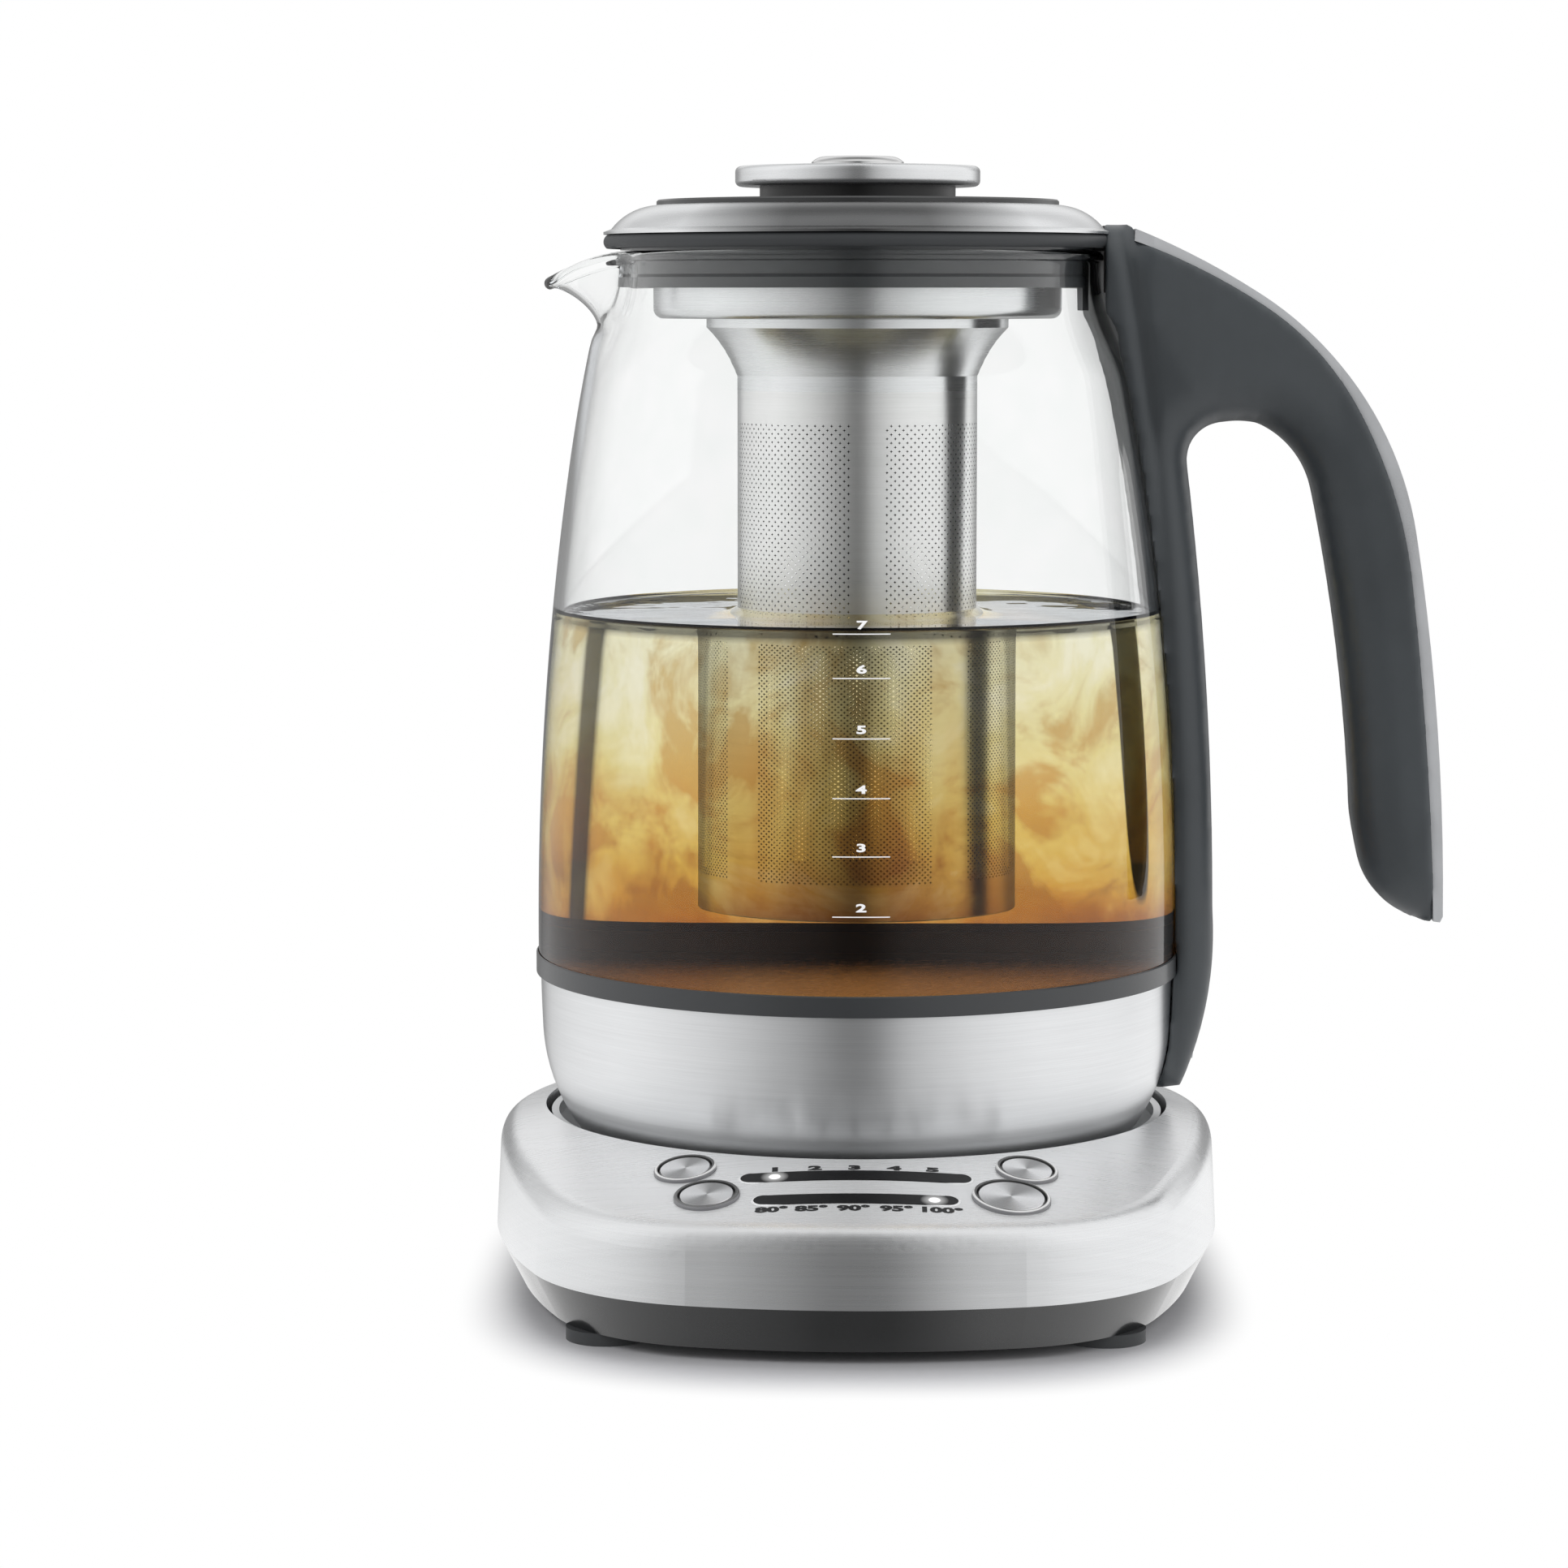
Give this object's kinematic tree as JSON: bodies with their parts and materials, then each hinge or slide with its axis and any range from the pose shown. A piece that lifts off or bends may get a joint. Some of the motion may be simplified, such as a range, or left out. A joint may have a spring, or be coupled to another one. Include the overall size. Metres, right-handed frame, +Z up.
{
  "type": "automatic tea maker",
  "caption": "Electric tea maker: a glass jug with a handle, spout, infuser basket and knobbed lid on a heated control base with push buttons.",
  "frame": {"origin": "on the jug's axis, in the plane that the feet stand on", "axes": "+Z up, -Y the front with the controls, +X the side of the handle"},
  "size_m": [0.2338, 0.2075, 0.2751],
  "materials": {
    "grey_plastic": "satin moulded",
    "brushed_steel_skin": "brushed",
    "rubber_feet": "matte",
    "fastener_steel": "plain",
    "black_plastic": "matte moulded",
    "contact_brass": "plain",
    "circuit_board": "solder mask",
    "clear_plastic": "clear moulded",
    "window_gloss": "polished",
    "button_steel": "spun",
    "ring_white": "translucent",
    "ring_dark": "satin",
    "polished_steel": "polished",
    "aluminium_cast": "cast",
    "jug_glass": "clear",
    "silver_trim": "satin",
    "basket_steel": "perforated",
    "grey_silicone": "satin",
    "dark_cover": "satin"
  },
  "bodies": {
    "base": {"base_tray": "grey_plastic", "base_shroud": "brushed_steel_skin", "base_feet": "rubber_feet", "base_screws": "fastener_steel", "base_cradle": "black_plastic", "power_connector": "black_plastic", "connector_contacts": "contact_brass", "power_board": "circuit_board", "power_relay": "black_plastic", "cord_inlet": "rubber_feet", "control_board": "circuit_board", "tact_switches": "black_plastic", "led_light_guides": "clear_plastic", "led_window_upper": "window_gloss", "led_window_lower": "window_gloss", "start_cancel_ring": "ring_white", "start_timer_ring": "ring_white", "temperature_ring": "ring_dark", "timer_ring": "ring_white"},
    "jug": {"jug_shell": "brushed_steel_skin", "jug_underside": "black_plastic", "jug_chassis": "black_plastic", "heater_plate": "polished_steel", "heating_element": "aluminium_cast", "jug_socket": "black_plastic", "socket_contacts": "contact_brass", "glass_collar": "grey_plastic", "glass_body": "jug_glass", "handle_body": "grey_plastic", "handle_trim": "silver_trim", "rim_clip": "black_plastic", "handle_bracket": "fastener_steel", "handle_screws": "fastener_steel"},
    "basket": {"basket_screen": "basket_steel", "basket_floor": "basket_steel", "basket_dish": "polished_steel", "basket_plug": "grey_silicone"},
    "lid": {"lid_dome": "brushed_steel_skin", "lid_cover": "dark_cover", "knob_stem": "black_plastic", "knob_disc": "brushed_steel_skin", "knob_cap": "polished_steel", "lid_liner": "black_plastic", "lid_seal": "grey_silicone", "lid_screw": "fastener_steel"},
    "start_cancel_key": {"start_cancel_button": "button_steel"},
    "start_timer_key": {"start_timer_button": "button_steel"},
    "temperature_key": {"temperature_button": "button_steel"},
    "timer_key": {"timer_button": "button_steel"}
  },
  "joints": [
    {"name": "jug_lift", "type": "slide", "parent": "base", "child": "jug", "axis": [0, 0, 1], "range_m": [0, 0.12]},
    {"name": "basket_lift", "type": "slide", "parent": "jug", "child": "basket", "axis": [0, 0, 1], "range_m": [0, 0.17]},
    {"name": "lid_lift", "type": "slide", "parent": "basket", "child": "lid", "axis": [0, 0, 1], "range_m": [0, 0.06]},
    {"name": "start_cancel_press", "type": "slide", "parent": "base", "child": "start_cancel_key", "axis": [-0.0857, 0.2262, -0.9703], "range_m": [0, 0.001], "stiffness_N_per_m": 400, "springref_m": -0.002},
    {"name": "start_timer_press", "type": "slide", "parent": "base", "child": "start_timer_key", "axis": [-0.1096, 0.2157, -0.9703], "range_m": [0, 0.001], "stiffness_N_per_m": 400, "springref_m": -0.002},
    {"name": "temperature_press", "type": "slide", "parent": "base", "child": "temperature_key", "axis": [0.083, 0.2272, -0.9703], "range_m": [0, 0.001], "stiffness_N_per_m": 400, "springref_m": -0.002},
    {"name": "timer_press", "type": "slide", "parent": "base", "child": "timer_key", "axis": [0.1096, 0.2157, -0.9703], "range_m": [0, 0.001], "stiffness_N_per_m": 400, "springref_m": -0.002}
  ]
}
